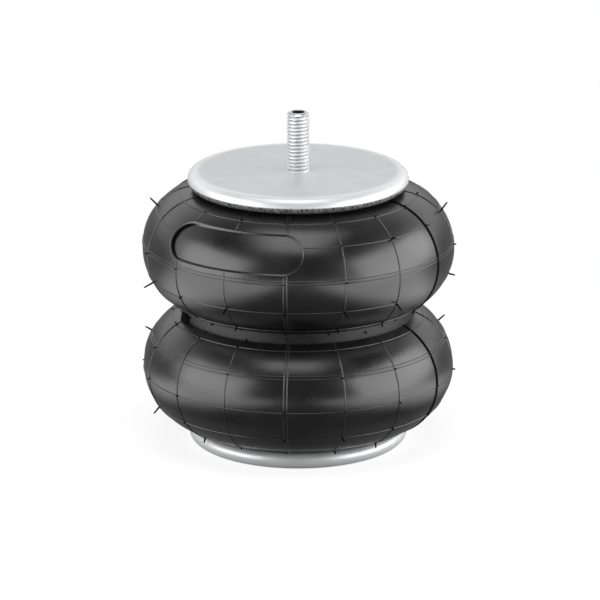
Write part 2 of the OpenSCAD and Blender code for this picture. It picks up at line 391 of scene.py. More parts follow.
def stud_zinc():
    finish = Finish("zinc_stud")
    radius = finish.axes(finish.coords)[3]
    patches = finish.noise(120, 3, 0.6)
    from_root = finish.maths("ABSOLUTE", radius - (THREAD_R - THREAD_DEPTH))
    # The thread's roots and the port are painted dark as painted shade.
    root = finish.spread(from_root, 0.04 * MM, 0.25 * MM, 1.0, 0.0)
    port = finish.spread(radius, PORT_SHADE_R - PORT_SOFT, PORT_SHADE_R + PORT_SOFT, 1.0, 0.0)
    bright = finish.mix(patches, grey(0.84, 0.01), grey(0.93, 0.01))
    return finish.close(
        Base_Color=finish.mix(port, finish.mix(root, bright, grey(0.3)), grey(0.05)),
        Metallic=0.65,
        Roughness=(patches - 0.5) * 0.15 + 0.38,
    )


zinc_stud = stud_zinc()
print(f"stud: dark inside {PORT_SHADE_R / MM:.1f} mm and at the thread's roots")

# %% [markdown]
# ## Cord fabric
# Under the cover lie two plies of rubbered cord. The cords run round the bellows at a steep slant,
# crossing from one ply to the next. The pattern is a sine of the angle round the axis plus the
# height, which gives slanted cords all the way round without a seam, because the count is whole.

# %% The fabric
CORDS_ROUND = 420
CORD_SLANT = 0.9
CORD_DARK = (0.05, 0.045, 0.04, 1)
CORD_LIGHT = (0.2, 0.18, 0.15, 1)


def cord_fabric(name, hand):
    """Rubbered cords that slant to the right, or with hand -1 to the left."""
    finish = Finish(name)
    x, y, z, _ = finish.axes(finish.coords)
    slant = hand * CORDS_ROUND * CORD_SLANT / BELLY_CENTRE
    phase = finish.maths("ARCTAN2", x, y) * CORDS_ROUND + z * slant
    cords = finish.maths("SINE", phase) * 0.5 + 0.5
    fluff = finish.noise(900, 2)
    return finish.close(
        Base_Color=finish.mix(cords * 0.7 + fluff * 0.3, CORD_DARK, CORD_LIGHT),
        Roughness=(fluff - 0.5) * 0.2 + 0.8,
        Normal=finish.bump(cords, 0.3 * MM, 0.7),
    )


outer_fabric = cord_fabric("outer_fabric", 1)
inner_fabric = cord_fabric("inner_fabric", -1)
print("two fabrics")

# %% [markdown]
# The frame's solids already carry the names of the record's material slots, so one table gives
# each of them its finish.

# %% Dress the frame's solids
FINISHES = {
    "zinc_plate": zinc_plate,
    "zinc_stud": zinc_stud,
    "bare_steel": bare_steel,
    "weld": weld_bead,
    "bead_wire": bronzed_wire,
    "bellows_rubber": bellows_rubber,
    "bumper_rubber": bumper_rubber,
    "liner_rubber": liner_rubber,
    "cord_fabric": outer_fabric,
}
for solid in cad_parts.values():
    for slot in solid.material_slots:
        slot.material = FINISHES[slot.material.name]
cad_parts["waist_band"].material_slots[0].material = band_rubber
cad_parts["girdle_hoop"].material_slots[0].material = bare_steel
print(f"{len(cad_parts)} solids dressed")

# %% [markdown]
# ## The wall of the bellows
# The real wall is a moulding of four layers that stretches as one. A rigid solid can't follow
# that, so each layer is made again as a mesh. A layer is two grids of points, its outer and its
# inner face, turned round the axis from one path of arcs. The grids are worked out with arrays,
# because every later detail needs the same surface.
#
# Each layer is cut where the neck ends and the belly starts. Both parts take their shading
# normals from the uncut surface, so the cut doesn't show.

# %% The section's arcs
NECK_CENTRE_R = NECK_R + NECK_BEND
NECK_Z = BELLY_Z - math.sqrt((BELLY_R + NECK_BEND) ** 2 - (NECK_CENTRE_R - BELLY_CENTRE) ** 2)
NECK_ANGLE = math.atan2(NECK_Z - BELLY_Z, NECK_CENTRE_R - BELLY_CENTRE)
WAIST_ANGLE = math.atan2(WAIST_Z - BELLY_Z, HOOP_R - BELLY_CENTRE)
BAND_ANGLE = math.asin((BAND_Z - BELLY_Z) / BELLY_R)
WRAP_R = HOOP_WIRE_R + HOOP_SKIN
SEAM_Z = 24 * MM


def arc(radius, z, size, start, end, steps):
    """Points (radius, z) on an arc, without its first one."""
    angles = np.linspace(start, end, steps + 1)[1:]
    return np.column_stack((radius + size * np.cos(angles), z + size * np.sin(angles)))


def path(depth, end, round_hoop, fineness):
    """The layer face at a depth in the wall, and the row at which the neck's part ends."""
    size = BELLY_R - depth
    seam_angle = math.asin((SEAM_Z - BELLY_Z) / size)
    pieces = [
        [(NECK_R - depth, FOOT_Z)],
        [(NECK_R - depth, NECK_Z)],
        arc(NECK_CENTRE_R, NECK_Z, NECK_BEND + depth, math.pi, NECK_ANGLE + math.pi, 3 * fineness),
        arc(BELLY_CENTRE, BELLY_Z, size, NECK_ANGLE, seam_angle, 5 * fineness),
        arc(BELLY_CENTRE, BELLY_Z, size, seam_angle, end, 16 * fineness),
    ]
    seam_row = 1 + 8 * fineness
    if round_hoop:
        wrap = WRAP_R - COVER_T + depth
        pieces.append(arc(HOOP_R, WAIST_Z, wrap, WAIST_ANGLE - math.pi, -math.pi, 3 * fineness))
    return np.vstack(pieces), seam_row


turns = [round(math.degrees(angle), 1) for angle in (NECK_ANGLE, BAND_ANGLE)]
print(f"the belly runs from {turns[0]} degrees at the neck to {turns[1]} at the band")

# %% [markdown]
# The cover isn't a perfect lathe shape. The mould closes along two lines, where the rubber has
# a narrow groove, and the surface swells and sinks a little, which is what makes the long
# highlights on real rubber wander. The upper belly also has a sunken field with round ends, left
# of the front. It stays bare here. Its floor is deepest at the left end, where a dull black bead
# laid in its corner further down paints the recess's shade as a dark crescent.

# %% Grids round the axis
FRONT = -math.pi / 2
MERIDIANS = 16
FIRST_MERIDIAN = math.radians(-5.25)
PARTINGS = (math.radians(62.25), math.radians(62.25 - 180))
FINE_STEP = 0.0021
FINE_STEPS = 12
FINE_REACH = 0.03
FIELD_STEP = 0.006


def azimuths(count, partings=(), fields=()):
    """Angles round the axis, 0 at the front and growing to the right, finer where asked."""
    angles = np.linspace(-math.pi, math.pi, count, endpoint=False)
    for middle in partings:
        fine = middle + np.arange(-FINE_STEPS, FINE_STEPS + 1) * FINE_STEP
        angles = np.concatenate((angles[np.abs(angles - middle) > FINE_REACH], fine))
    for low, high in fields:
        outside = angles[(angles < low) | (angles > high)]
        angles = np.concatenate((outside, np.arange(low, high, FIELD_STEP)))
    return np.sort(angles)


def turned(radius, height, angles):
    """A grid of points round the axis, one row for each radius and height."""
    radius, height, angles = np.broadcast_arrays(radius, height, angles)
    return np.stack((radius * np.sin(angles), -radius * np.cos(angles), height), axis=2)


def normals(grid):
    """Unit normals of a grid, outwards where its rows climb."""
    across = np.roll(grid, -1, axis=1) - np.roll(grid, 1, axis=1)
    out = np.cross(across, np.gradient(grid, axis=0))
    return out / np.linalg.norm(out, axis=2, keepdims=True)


# %% The cover's grooves, field and swell
PARTING_HALF = 1.4 * MM
PARTING_DEPTH = 1.6 * MM
FIELD_AZIMUTH = math.radians(-27.6)
FIELD_LATITUDE = math.radians(34)
FIELD_R = BELLY_CENTRE + BELLY_R * math.cos(FIELD_LATITUDE)
FIELD_HALF_WIDTH = 15.5 * MM
FIELD_HALF_LENGTH = 54.5 * MM
DEPTH_LEFT = 1.65 * MM
DEPTH_RIGHT = 0.85 * MM
FIELD_SLOPE = 0.85
SWELL = 0.05 * MM
SWELLS_PER_METRE = 32
WORN_STARTS, WORN_FULL = 15 * MM, 21 * MM
WORN_FADES = 4 * MM


def smooth(value):
    """0 to 1 with a soft start and a soft stop."""
    value = np.clip(value, 0, 1)
    return value * value * (3 - 2 * value)


def field_offset(points):
    """How far points of the lower end, seen as the upper one, lie inside the sunken field.

    Gives the distance in from its outline and the share of the way from left to right.
    """
    radius = np.hypot(points[..., 0], points[..., 1])
    azimuth = np.arctan2(points[..., 0], -points[..., 1])
    latitude = np.arctan2(BELLY_Z - points[..., 2], radius - BELLY_CENTRE)
    along = (azimuth - FIELD_AZIMUTH) * FIELD_R
    across = (latitude - FIELD_LATITUDE) * BELLY_R
    past = np.maximum(np.abs(along) - FIELD_HALF_LENGTH + FIELD_HALF_WIDTH, 0)
    inside = FIELD_HALF_WIDTH - np.hypot(past, across)
    return inside, along / (2 * FIELD_HALF_LENGTH) + 0.5


def worn(grid, angles, has_field):
    """The cover's outer face with its grooves, its sunken field and its slight unevenness."""
    height = grid[:, :, 2]
    above_neck = np.clip((height - WORN_STARTS) / (WORN_FULL - WORN_STARTS), 0, 1)
    free = above_neck * np.clip((BAND_Z - height) / WORN_FADES, 0, 1)
    swell = [[noise.noise(Vector(p) * SWELLS_PER_METRE) for p in row] for row in grid]
    push = np.array(swell) * SWELL
    radius = np.hypot(grid[:, :, 0], grid[:, :, 1])
    for parting in PARTINGS:
        away = np.abs(angles - parting)[None, :] * radius / PARTING_HALF
        push = push - PARTING_DEPTH * np.clip(1 - away, 0, 1)
    if has_field:
        inside, share = field_offset(grid)
        depth = DEPTH_LEFT + (DEPTH_RIGHT - DEPTH_LEFT) * smooth(share * 2)
        push = push - depth * smooth(inside * FIELD_SLOPE / depth)
    return grid + normals(grid) * (push * free)[:, :, None]


# %% Close two faces into a shell
def flipped(points):
    """The same points at the upper end."""
    return points * (1, 1, -1) + (0, 0, HEIGHT)


def link(name, vertices, faces, material, loop_normals=None):
    """A smooth mesh object made from points and faces."""
    mesh = bpy.data.meshes.new(name)
    mesh.from_pydata(np.asarray(vertices).tolist(), [], faces)
    mesh.polygons.foreach_set("use_smooth", [True] * len(faces))
    mesh.materials.append(material)
    mesh.validate()
    if loop_normals is not None:
        mesh.normals_split_custom_set(loop_normals)
    return place(name, mesh)


def quads(*corners):
    """Faces from four equal grids of corner numbers."""
    return np.stack(corners, axis=-1).reshape(-1, 4)


def shell(name, outer, inner, upper, material):
    """A closed ring of wall between two grids of points and normals that share their angles.

    The faces take the grids' normals, and the rims at both ends are flat.
    """
    both = np.vstack((outer, inner * (1, 1, 1, -1, -1, -1)))
    if upper:
        both = both * (1, 1, -1, 1, 1, -1) + (0, 0, HEIGHT, 0, 0, 0)
    points, shading = both[..., :3].reshape(-1, 3), both[..., 3:].reshape(-1, 3)
    here = np.arange(len(points)).reshape(both.shape[:2])
    right = np.roll(here, -1, axis=1)
    out, top = slice(0, len(outer) - 1), slice(1, len(outer))
    into, above = slice(len(outer), -1), slice(len(outer) + 1, None)
    walls = np.vstack((
        quads(here[out], right[out], right[top], here[top]),
        quads(right[into], here[into], here[above], right[above]),
    ))
    last = len(outer) - 1
    rims = np.vstack((
        quads(here[0], here[last + 1], right[last + 1], right[0]),
        quads(here[last], right[last], right[-1], here[-1]),
    ))
    ends = points[here[[0, last]]] - points[here[[1, last - 1]]]
    ends = ends.reshape(-1, 3) / np.linalg.norm(ends, axis=2).reshape(-1, 1)
    if upper:
        walls, rims = walls[:, ::-1], rims[:, ::-1]
    corners = np.vstack((shading[walls].reshape(-1, 3), np.repeat(ends, 4, axis=0)))
    faces = np.vstack((walls, rims)).tolist()
    return link(name, points, faces, material, corners.tolist())


# %% [markdown]
# Four layers at two ends, each in two parts, make sixteen pieces. Each pair replaces one solid of
# the frame.

# %% Build the walls
PLY_DEPTH = COVER_T + BOND
INNER_PLY_DEPTH = PLY_DEPTH + PLY_T + BOND
LINER_DEPTH = INNER_PLY_DEPTH + PLY_T + BOND
LAYERS = {
    "cover": (0.0, COVER_T, bellows_rubber, "bellows_rubber"),
    "outer_ply": (PLY_DEPTH, PLY_T, outer_fabric, "cord_fabric"),
    "inner_ply": (INNER_PLY_DEPTH, PLY_T, inner_fabric, "cord_fabric"),
    "liner": (LINER_DEPTH, LINER_T, liner_rubber, "liner_rubber"),
}
FIELD_REACH = FIELD_HALF_LENGTH / BELLY_CENTRE
COVER_SIDES = 216
PLY_SIDES = 120
FINE_FIELD, FINE_COVER, FINE_PLY = 7, 4, 2
pliant = []        # every piece that bends with the bellows, with its end and its part


def keep_pliant(piece, end, part):
    """Notes a piece with its end and its part."""
    pliant.append((piece, end, part))


def build_layer(layer, end):
    depth, thickness, material, slot_name = LAYERS[layer]
    is_cover = layer == "cover"
    has_field = is_cover and end == "upper"
    fields = [(FIELD_AZIMUTH - FIELD_REACH, FIELD_AZIMUTH + FIELD_REACH)] if has_field else []
    angles = azimuths(COVER_SIDES, PARTINGS, fields) if is_cover else azimuths(PLY_SIDES)
    stop = BAND_ANGLE - math.asin(BOND / BELLY_R) if is_cover else WAIST_ANGLE
    fineness = FINE_FIELD if has_field else FINE_COVER if is_cover else FINE_PLY
    outside, outside_seam = path(depth, stop, not is_cover, fineness)
    inside, inside_seam = path(depth + thickness, stop, not is_cover, FINE_PLY)
    outer = turned(*np.hsplit(outside, 2), angles)
    inner = turned(*np.hsplit(inside, 2), angles)
    if is_cover:
        outer = worn(outer, angles, has_field)
    outer, inner = (np.dstack((grid, normals(grid))) for grid in (outer, inner))
    parts = {
        "neck": (outer[:outside_seam + 1], inner[:inside_seam + 1]),
        "belly": (outer[outside_seam:], inner[inside_seam:]),
    }
    for part, faces in parts.items():
        piece = shell(f"{end}_{layer}_{part}", *faces, end == "upper", material)
        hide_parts(f"{end}_{layer}")
        keep_pliant(piece, end, part)


for end in ENDS:
    for layer in LAYERS:
        build_layer(layer, end)
print(f"{len(pliant)} pieces, {sum(len(p[0].data.polygons) for p in pliant)} faces")

# %% [markdown]
# Whatever else lies on the rubber may cross the cut between neck and belly. It is then cut on the
# same plane, and both halves are closed again.

# %% Cut a piece at the seam
ON_PLANE = 1e-7


def half(piece, name, height, keep_above):
    """A closed copy of what lies above or below a height, or None where nothing does."""
    shape = bmesh.new()
    shape.from_mesh(piece.data)
    bmesh.ops.bisect_plane(
        shape, geom=shape.verts[:] + shape.edges[:] + shape.faces[:], dist=ON_PLANE,
        plane_co=(0, 0, height), plane_no=(0, 0, 1),
        clear_inner=keep_above, clear_outer=not keep_above,
    )
    rims = [edge for edge in shape.edges if edge.is_boundary]
    bmesh.ops.holes_fill(shape, edges=rims, sides=0)
    mesh = bpy.data.meshes.new(name)
    shape.to_mesh(mesh)
    shape.free()
    if not mesh.polygons:
        bpy.data.meshes.remove(mesh)
        return None
    mesh.materials.append(piece.data.materials[0])
    return place(name, mesh)


def split_at_seam(piece, end):
    """Replaces a piece by its neck part and its belly part."""
    height = SEAM_Z if end == "lower" else HEIGHT - SEAM_Z
    for part, above in (("neck", end == "upper"), ("belly", end == "lower")):
        made = half(piece, f"{piece.name}_{part}", height, above)
        if made:
            keep_pliant(made, end, part)
    bpy.data.objects.remove(piece)


# %% [markdown]
# ## Mould lines
# The mould's vent grooves leave fine ridges on the rubber: sixteen run from plate to waist, and
# rings cross them at a few heights. They follow a rule, so Geometry Nodes make them. One tree
# takes an arc, stands it up, sets it on as many points as there are ridges with a turn for each,
# and sweeps a small circle along the lot. The second sets a circle on one point for each ring, at
# the radius that the point carries as an attribute. The third sweeps a bead of changing
# thickness along a chain of points.

# %% A wrapper for geometry trees
class GeometryGraph(Graph):
    """A Geometry Nodes tree with a material and named numbers as its inputs."""

    def __init__(self, name, *values, counts=()):
        super().__init__(bpy.data.node_groups.new(name, "GeometryNodeTree"))
        kinds = {"Geometry": "Geometry", "material": "Material"}
        kinds.update({title: "Float" for title in values})
        kinds.update({title: "Int" for title in counts})
        side = self.tree.interface
        side.new_socket("Geometry", in_out="OUTPUT", socket_type="NodeSocketGeometry")
        for title, kind in kinds.items():
            side.new_socket(title, in_out="INPUT", socket_type="NodeSocket" + kind)
        self.entry = self.tree.nodes.new("NodeGroupInput")

    def given(self, title):
        return Wire(self, find_socket(self.entry.outputs, title))

    def carried(self, title, kind="FLOAT"):
        """An attribute that the points bring with them."""
        return self.node("GeometryNodeInputNamedAttribute", {"data_type": kind}, {"Name": title})

    def instances(self, points, shape, **inputs):
        """The shape on every point."""
        inputs.update(Points=points, Instance=shape)
        return self.node("GeometryNodeInstanceOnPoints", None, inputs)

    def circle(self, radius, sides):
        inputs = {"Resolution": sides, "Radius": radius}
        return self.node("GeometryNodeCurvePrimitiveCircle", None, inputs)

    def sweep(self, curves, radius, sides, scale=1.0):
        """A closed tube along every curve, with a scale that may change along it."""
        real = self.node("GeometryNodeRealizeInstances", None, {0: curves})
        inputs = {"Curve": real, "Profile Curve": self.circle(radius, sides), "Scale": scale}
        return self.node("GeometryNodeCurveToMesh", None, {**inputs, "Fill Caps": True})

    def close(self, geometry):
        """Ends the tree in Realize Instances and Set Material."""
        real = self.node("GeometryNodeRealizeInstances", None, {0: geometry})
        soft = self.node("GeometryNodeSetShadeSmooth", None, {0: real})
        inputs = {"Geometry": soft, "Material": self.given("material")}
        self.node("NodeGroupOutput", None, {0: self.node("GeometryNodeSetMaterial", None, inputs)})
        return self.tree


# %% Run a tree on bare points
def grow(name, tree, points, carried=None, chained=False, **values):
    """The plain mesh that a tree makes from points, which carry attributes into it."""
    seed = bpy.data.meshes.new(name + "_seed")
    edges = [(k, k + 1) for k in range(len(points) - 1)] if chained else []
    seed.from_pydata([tuple(p) for p in points], edges, [])
    for title, numbers in (carried or {}).items():
        is_vector = np.ndim(numbers) == 2
        kind, field = ("FLOAT_VECTOR", "vector") if is_vector else ("FLOAT", "value")
        attribute = seed.attributes.new(title, kind, "POINT")
        attribute.data.foreach_set(field, np.ravel(numbers))
    source = place(name + "_source", seed)
    modifier = source.modifiers.new("Grow", "NODES")
    modifier.node_group = tree
    for item in tree.interface.items_tree:
        if item.in_out == "INPUT" and item.name in values:
            modifier[item.identifier] = values[item.name]
    graph = bpy.context.evaluated_depsgraph_get()
    mesh = bpy.data.meshes.new_from_object(source.evaluated_get(graph))
    bpy.data.objects.remove(source)
    bpy.data.meshes.remove(seed)
    print(f"{name}: {len(mesh.polygons)} faces")
    return place(name, mesh)


# %% The three trees for ridges
ARC_POINTS = 72
RING_SIDES = 300
RIDGE_SIDES = 6
BEAD_SIDES = 8


def build_meridian_tree():
    graph = GeometryGraph(
        "meridian_ridges", "first", "pitch", "size", "centre", "height", "start", "sweep",
        "ridge", counts=["count"],
    )
    profile = graph.node("GeometryNodeCurveArc", None, {
        "Resolution": ARC_POINTS, "Radius": graph.given("size"),
        "Start Angle": graph.given("start"), "Sweep Angle": graph.given("sweep"),
    })
    across_up = {0: graph.given("centre"), 2: graph.given("height")}
    middle = graph.node("ShaderNodeCombineXYZ", None, across_up)
    stood = graph.node("GeometryNodeTransform", None, {
        "Geometry": profile, "Rotation": (math.pi / 2, 0, 0), "Translation": middle,
    })
    points = graph.node("GeometryNodePoints", None, {"Count": graph.given("count")})
    turn = graph.node("GeometryNodeInputIndex") * graph.given("pitch") + graph.given("first")
    rotation = graph.node("ShaderNodeCombineXYZ", None, {2: turn})
    ridges = graph.instances(points, stood, Rotation=rotation)
    return graph.close(graph.sweep(ridges, graph.given("ridge"), RIDGE_SIDES))


def build_ring_tree():
    graph = GeometryGraph("ring_ridges", "ridge")
    circle = graph.circle(1.0, RING_SIDES)
    rings = graph.instances(graph.given("Geometry"), circle, Scale=graph.carried("radius"))
    return graph.close(graph.sweep(rings, graph.given("ridge"), RIDGE_SIDES))


def build_bead_tree():
    graph = GeometryGraph("tapered_bead")
    chain = graph.node("GeometryNodeMeshToCurve", None, {0: graph.given("Geometry")})
    return graph.close(graph.sweep(chain, 1.0, BEAD_SIDES, graph.carried("thick")))


meridian_ridges = build_meridian_tree()
ring_ridges = build_ring_tree()
tapered_bead = build_bead_tree()
print("three trees")

# %% [markdown]
# The heights of the rings are angles above and below each belly's own middle. They were read off
# the photograph. One ring on each belly is a double line, as is the ridge nearest to the front.
# Where a line crosses the sunken field, it is pulled under the surface.

# %% Find places on a belly
def centre_z(end):
    """The height of a belly's middle."""
    return BELLY_Z if end == "lower" else HEIGHT - BELLY_Z


def belly_spot(end, latitude, azimuth, lift=0.0):
    """The point on a belly, with angles in degrees and latitude up positive, and its normal."""
    up, round_ = math.radians(latitude), math.radians(azimuth)
    normal = (math.cos(up) * math.sin(round_), -math.cos(up) * math.cos(round_), math.sin(up))
    size = BELLY_R + lift
    radius = BELLY_CENTRE + size * math.cos(up)
    height = centre_z(end) + size * math.sin(up)
    return (radius * math.sin(round_), -radius * math.cos(round_), height), normal


# %% Sink a line into the field
SINK = 2.6 * MM


def sink_in_field(piece):
    """Pulls what crosses the sunken field of the upper belly under the surface."""
    points = np.empty(len(piece.data.vertices) * 3)
    piece.data.vertices.foreach_get("co", points)
    points = points.reshape(-1, 3)
    inside, _ = field_offset(flipped(points))
    middle = centre_z("upper")
    radius = np.hypot(points[:, 0], points[:, 1])
    out_r, out_z = radius - BELLY_CENTRE, points[:, 2] - middle
    shrink = 1 - SINK * smooth(inside / MM + 0.5) / np.hypot(out_r, out_z)
    scale = (BELLY_CENTRE + out_r * shrink) / radius
    moved = np.column_stack((points[:, 0] * scale, points[:, 1] * scale, middle + out_z * shrink))
    piece.data.vertices.foreach_set("co", moved.ravel())


def lay_line(piece, end):
    """Sinks a line into the field and cuts it at the seam."""
    if end == "upper":
        sink_in_field(piece)
    split_at_seam(piece, end)


# %% Lay the ridges
RIDGE_R = 0.6 * MM
RING_R = 0.48 * MM
RIDGE_SUNK = 0.05 * MM
DOUBLE_GAP = 2.3 * MM
PITCH = 2 * math.pi / MERIDIANS
PARTING_STEP = 3
RINGS = {
    "lower": (-66, -34, -3, 29, 59),
    "upper": (-57, -25, 5, 40, 68),
}
DOUBLE_RINGS = {"lower": 29, "upper": 5}


def lay_meridians(title, end, count, first, pitch, sunk, ridge, material):
    """Lines that run from the crimp to the waist, the first of them at an angle to the front."""
    piece = grow(
        f"{end}_{title}", meridian_ridges, [(0, 0, 0)], count=count, first=FRONT + first,
        pitch=pitch, size=BELLY_R - sunk, centre=BELLY_CENTRE, height=centre_z(end),
        start=NECK_ANGLE if end == "lower" else -BAND_ANGLE, sweep=BAND_ANGLE - NECK_ANGLE,
        ridge=ridge, material=material,
    )
    lay_line(piece, end)


def lay_ridges(end):
    half_turn = MERIDIANS // 2
    past_parting = FIRST_MERIDIAN + (PARTING_STEP + 1) * PITCH
    runs = (
        ("ridge_right", half_turn - 1, past_parting - MERIDIANS * PITCH),
        ("ridge_left", half_turn - 1, past_parting - half_turn * PITCH),
        ("ridge_twin", 1, FIRST_MERIDIAN + DOUBLE_GAP / (BELLY_CENTRE + BELLY_R)),
    )
    for title, count, first in runs:
        lay_meridians(title, end, count, first, PITCH, RIDGE_SUNK, RIDGE_R, flash_rubber)
    latitudes = [*RINGS[end], DOUBLE_RINGS[end] + math.degrees(DOUBLE_GAP / BELLY_R)]
    spots = [belly_spot(end, latitude, 0, -RIDGE_SUNK)[0] for latitude in latitudes]
    rings = grow(f"{end}_ridge_rings", ring_ridges, [(0, 0, z) for _, _, z in spots],
                 {"radius": [-y for _, y, _ in spots]}, ridge=RING_R, material=flash_rubber)
    lay_line(rings, end)


for end in ENDS:
    lay_ridges(end)

# %% [markdown]
# Two more lines are duller and blacker than the ridges, and both are painted shade. In each
# parting groove stands a bead of trimmed rubber, made dull black as painted shade for the groove's
# shadow. The sharp corner at the left end of the sunken field holds another, which tapers out at
# both ends and paints the recess's shade as a dark crescent.

# %% Lay the dull beads of painted shade
PARTING_R = 1.25 * MM
PARTING_SUNK = 0.45 * MM
CORNER_R = 1.25 * MM
CORNER_THIN = 0.05 * MM
CORNER_INSET = 1.5 * MM
CORNER_DEPTH = 1.0 * MM
CORNER_ENDS = (math.radians(82), math.radians(268))
CORNER_POINTS = 33


def lay_corner_shade():
    """The tapered bead at the left end of the sunken field, a dark crescent of painted shade."""
    turns = np.linspace(*CORNER_ENDS, CORNER_POINTS)
    size = FIELD_HALF_WIDTH - CORNER_INSET
    along = size * np.cos(turns) - FIELD_HALF_LENGTH + FIELD_HALF_WIDTH
    azimuth = np.degrees(FIELD_AZIMUTH + along / FIELD_R)
    latitude = np.degrees(FIELD_LATITUDE + size * np.sin(turns) / BELLY_R)
    places = zip(latitude, azimuth)
    spots = [belly_spot("upper", up, side, -CORNER_DEPTH)[0] for up, side in places]
    taper = np.sin(np.linspace(0, math.pi, CORNER_POINTS))
    thick = np.maximum(CORNER_R * taper, CORNER_THIN)
    piece = grow("field_corner_shade", tapered_bead, spots, {"thick": thick}, chained=True,
                 material=dull_rubber)
    split_at_seam(piece, "upper")


# The parting beads are dull black as painted shade, the shadow in each groove.
for end in ENDS:
    lay_meridians("parting", end, 2, PARTINGS[0], math.pi, PARTING_SUNK, PARTING_R, dull_rubber)
lay_corner_shade()

# %% [markdown]
# ## Vent hairs
# Where two ridges cross, the mould has a vent hole, and the rubber that crept into it stands on
# the finished bellows as a hair. Most are torn off short. The long ones that the photograph
# shows in outline are listed one by one, and the rest take a seeded random length. The tree sets
# one thin cone on each point, turned to the direction that the point carries and leaning a little.

# %% The tree for the hairs
def build_hair_tree():
    graph = GeometryGraph("vent_hairs", "thickness", "wander")
    tilt = graph.node("FunctionNodeRandomValue", {"data_type": "FLOAT_VECTOR"}, {
        "Min": (-1, -1, -1), "Max": (1, 1, 1), "Seed": 5,
    })
    lean = graph.node("ShaderNodeVectorMath", {"operation": "SCALE"}, {
        0: tilt, "Scale": graph.given("wander"),
    })
    direction = graph.node("ShaderNodeVectorMath", {"operation": "ADD"}, {
        0: graph.carried("outward", "FLOAT_VECTOR"), 1: lean,
    })
    turn = graph.node("FunctionNodeAlignRotationToVector", {"axis": "Z"}, {"Vector": direction})
    cone = graph.node("GeometryNodeMeshCone", None, {
        "Vertices": 7, "Side Segments": 2, "Radius Top": 0.72, "Radius Bottom": 1.0, "Depth": 1.0,
    })
    thick, length = graph.given("thickness"), graph.carried("length")
    size = graph.node("ShaderNodeCombineXYZ", None, {0: thick, 1: thick, 2: length})
    return graph.close(graph.instances(graph.given("Geometry"), cone, Rotation=turn, Scale=size))


vent_hairs = build_hair_tree()

# %% [markdown]
# The table gives the long hairs' lengths in millimetres, by the ring and the ridge that they
# stand on. The ridges count from the one nearest to the front, to the right.

# %% Grow the hairs
HAIR_R = 0.75 * MM
HAIR_ROOT = 0.5 * MM
HAIR_WANDER = 0.28
LONG_HAIRS = {
    "upper": {
        40: {2: 4.5, 4: 8.5, 8: 7.0, 12: 7.0},
        -25: {0: 5.0, 1: 6.0, 2: 6.5, 4: 5.5, 13: 8.0, 15: 6.0},
        -57: {0: 3.2, 1: 3.0, 2: 3.4, 15: 3.2},
    },
    "lower": {
        29: {5: 7.0, 12: 5.5},
        -34: {1: 3.5, 7: 6.0, 13: 6.5},
        -66: {1: 3.0, 2: 4.0, 14: 4.0},
    },
}
STUBS = (0.7, 2.4)
STUB_CHANCE = 0.7
chance = random.Random(11)


def hair_rows(end):
    """Root, direction and length of each hair of one belly."""
    rows = []
    for latitude in RINGS[end]:
        for ridge in range(MERIDIANS):
            azimuth = math.degrees(FIRST_MERIDIAN + ridge * PITCH)
            root, outward = belly_spot(end, latitude, azimuth, -HAIR_ROOT)
            if end == "upper" and field_offset(flipped(np.array(root)))[0] > 0:
                continue
            stub = chance.uniform(*STUBS) if chance.random() < STUB_CHANCE else 0.0
            length = LONG_HAIRS[end].get(latitude, {}).get(ridge, stub)
            if length:
                rows.append((root, outward, length * MM + HAIR_ROOT))
    return rows


def part_at(z):
    """The part of either end that holds a height."""
    return "neck" if abs(z - WAIST_Z) > WAIST_Z - SEAM_Z else "belly"


def grow_hairs(name, rows, wander):
    roots, directions, lengths = zip(*rows)
    return grow(name, vent_hairs, roots, {"outward": directions, "length": lengths},
                thickness=HAIR_R, wander=wander, material=dull_rubber)


for end in ENDS:
    rows = hair_rows(end)
    for part in ("neck", "belly"):
        chosen = [row for row in rows if part_at(row[0][2]) == part]
        hairs = grow_hairs(f"{end}_hairs_{part}", chosen, HAIR_WANDER)
        keep_pliant(hairs, end, part)

# %% [markdown]
# ## The waist band
# The band keeps its solid from the frame. It gets two thin edge ridges, a row of torn vent stubs
# and the lump of overflow where its mould ring closes. All of this is stiff and moves with the
# hoop inside it.

# %% Trim the band
EDGE_INSET = 0.25 * MM
EDGE_SUNK = 0.1 * MM
EDGE_R = 0.4 * MM
BAND_STUBS = 18
FIRST_STUB = math.radians(-5.5)
BAND_STUB_LENGTHS = (0.8, 2.2)
STUB_OFFSET = 3 * MM
BAND_WANDER = 0.3


def band_stub(step):
    """Root, direction and length of one torn stub."""
    turn = FIRST_STUB + step * 2 * math.pi / BAND_STUBS
    outward = (math.sin(turn), -math.cos(turn), 0.0)
    z = WAIST_Z + chance.choice((-1, 0, 1)) * STUB_OFFSET
    foot = BAND_R - HAIR_ROOT
    length = chance.uniform(*BAND_STUB_LENGTHS) * MM + HAIR_ROOT
    return (outward[0] * foot, outward[1] * foot, z), outward, length


edges_z = (BAND_Z + EDGE_INSET, HEIGHT - BAND_Z - EDGE_INSET)
band_edges = grow("band_edges", ring_ridges, [(0, 0, z) for z in edges_z],
                  {"radius": [BAND_R - EDGE_SUNK] * 2}, ridge=EDGE_R, material=band_rubber)
band_stubs = grow_hairs("band_stubs", [band_stub(step) for step in range(BAND_STUBS)], BAND_WANDER)

# %% The lump of overflow
LUMP_AZIMUTH = math.radians(-71)
LUMP_SIZE = (4.8 * MM, 5.6 * MM, 6.4 * MM)
LUMP_DROP = 2.4 * MM
LUMP_SUNK = 0.5 * MM
LUMP_UNEVEN = 0.12
LUMP_RIPPLES = 1.7


